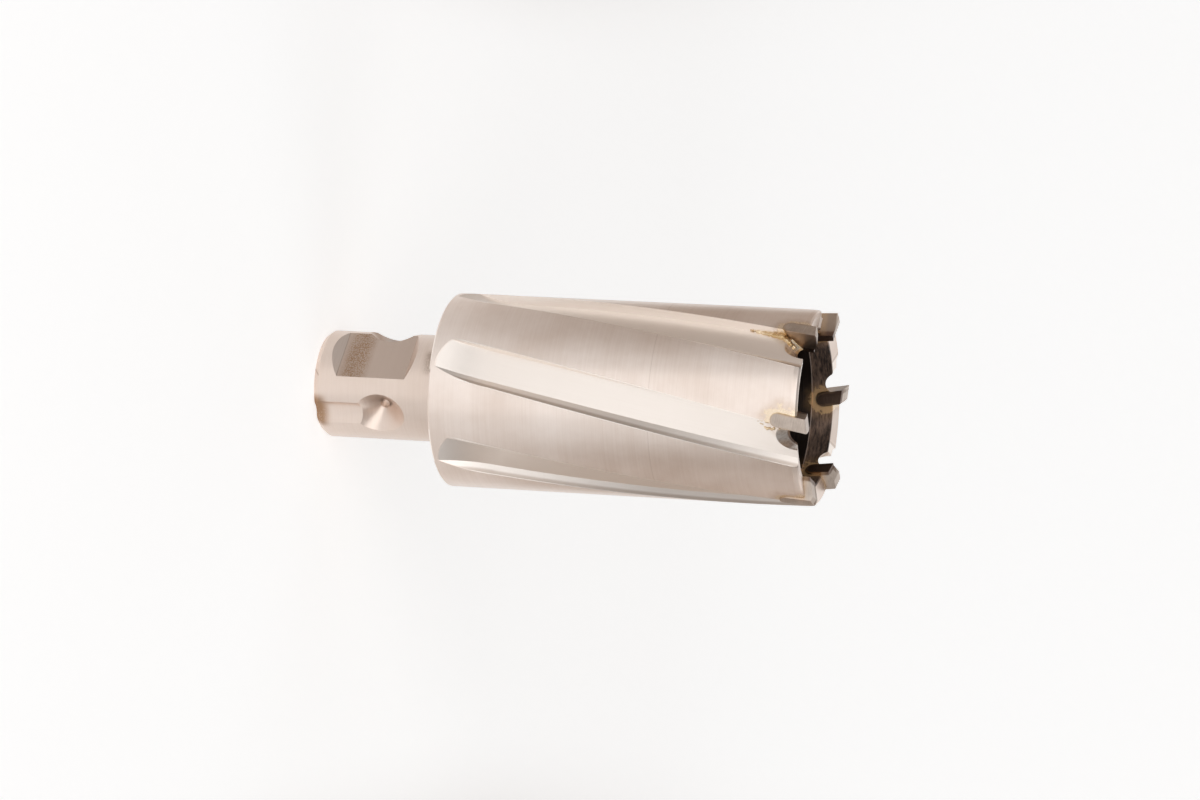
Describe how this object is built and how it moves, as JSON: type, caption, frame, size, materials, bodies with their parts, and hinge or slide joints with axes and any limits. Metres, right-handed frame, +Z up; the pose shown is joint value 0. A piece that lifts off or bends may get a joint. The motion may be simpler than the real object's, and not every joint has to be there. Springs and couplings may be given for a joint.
{
  "type": "annular cutter",
  "caption": "Carbide-tipped annular cutter: a hollow fluted cup that cuts a ring and leaves a slug, on a short universal shank with a pilot bore.",
  "frame": {"origin": "centre of the shank's end face, on the cutter's axis", "axes": "+Z up the axis from the shank to the teeth; the first tooth's rake face is near -Y and the others follow it at sixths of a turn"},
  "size_m": [0.0344, 0.035, 0.0918],
  "materials": {
    "tool_steel": "ground and brushed, warm in tone, browned at the teeth and lightly rusted on the shank",
    "carbide": "ground cemented carbide, dark grey",
    "braze": "as-flowed silver brazing alloy, pale yellow"
  },
  "bodies": {
    "root": {"cutter_body": "tool_steel", "carbide_tip_1": "carbide", "carbide_tip_2": "carbide", "carbide_tip_3": "carbide", "carbide_tip_4": "carbide", "carbide_tip_5": "carbide", "carbide_tip_6": "carbide", "braze_joint_1": "braze", "braze_joint_2": "braze", "braze_joint_3": "braze", "braze_joint_4": "braze", "braze_joint_5": "braze", "braze_joint_6": "braze"}
  },
  "joints": []
}
